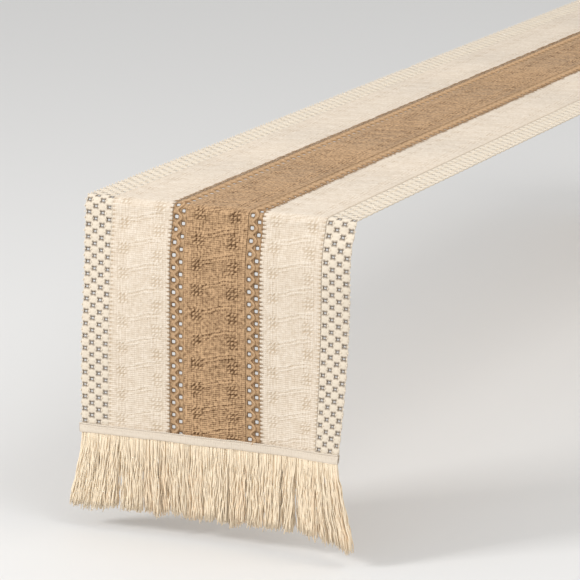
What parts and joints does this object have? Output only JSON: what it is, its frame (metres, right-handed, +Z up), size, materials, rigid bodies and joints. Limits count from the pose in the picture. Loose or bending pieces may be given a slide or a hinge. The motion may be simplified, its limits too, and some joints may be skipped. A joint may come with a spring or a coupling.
{
  "type": "table runner",
  "caption": "Woven cotton table runner with a tan jute centre, openwork lattice edges and fringed ends, draped over both ends of a table.",
  "frame": {"origin": "middle of the cloth's underside, where it lies on the table; the table's surface is z = 0", "axes": "+Z up, +Y along the runner towards its back end, +X across it to the right seen from the front end"},
  "size_m": [0.305, 1.6262, 0.3362],
  "materials": {
    "cream_weave": "matte close-woven cream cotton with fine cross ribs and raised slub figures",
    "cream_lattice": "matte cream cotton openwork of small staggered holes",
    "tan_weave": "matte close-woven tan jute-coloured yarn with raised slub figures",
    "tan_ladder": "matte tan openwork ladder with a waving thick yarn",
    "header_tape": "matte ribbed cream cotton tape",
    "fringe_yarn": "soft loose cream cotton yarn ends",
    "sewing_thread": "fine cream sewing thread"
  },
  "bodies": {
    "top": {"top_left_lattice": "cream_lattice", "top_left_cream_band": "cream_weave", "top_left_ladder": "tan_ladder", "top_centre_tan_band": "tan_weave", "top_right_ladder": "tan_ladder", "top_right_cream_band": "cream_weave", "top_right_lattice": "cream_lattice"},
    "front_drop": {"front_drop_left_lattice": "cream_lattice", "front_drop_left_cream_band": "cream_weave", "front_drop_left_ladder": "tan_ladder", "front_drop_centre_tan_band": "tan_weave", "front_drop_right_ladder": "tan_ladder", "front_drop_right_cream_band": "cream_weave", "front_drop_right_lattice": "cream_lattice", "front_header_tape": "header_tape", "front_tape_stitching": "sewing_thread"},
    "front_fringe": {"front_fringe": "fringe_yarn"},
    "back_drop": {"back_drop_left_lattice": "cream_lattice", "back_drop_left_cream_band": "cream_weave", "back_drop_left_ladder": "tan_ladder", "back_drop_centre_tan_band": "tan_weave", "back_drop_right_ladder": "tan_ladder", "back_drop_right_cream_band": "cream_weave", "back_drop_right_lattice": "cream_lattice", "back_header_tape": "header_tape", "back_tape_stitching": "sewing_thread"},
    "back_fringe": {"back_fringe": "fringe_yarn"}
  },
  "joints": [
    {"name": "front_fold", "type": "hinge", "parent": "top", "child": "front_drop", "pos_m": [0, -0.809, 0], "axis": [-1, 0, 0], "range_deg": [0, 90]},
    {"name": "front_fringe_swing", "type": "hinge", "parent": "front_drop", "child": "front_fringe", "pos_m": [0, -0.8101, -0.2475], "axis": [-1, 0, 0], "range_deg": [-90, 90]},
    {"name": "back_fold", "type": "hinge", "parent": "top", "child": "back_drop", "pos_m": [0, 0.809, 0], "axis": [1, 0, 0], "range_deg": [0, 90]},
    {"name": "back_fringe_swing", "type": "hinge", "parent": "back_drop", "child": "back_fringe", "pos_m": [0, 0.8101, -0.2475], "axis": [1, 0, 0], "range_deg": [-90, 90]}
  ]
}
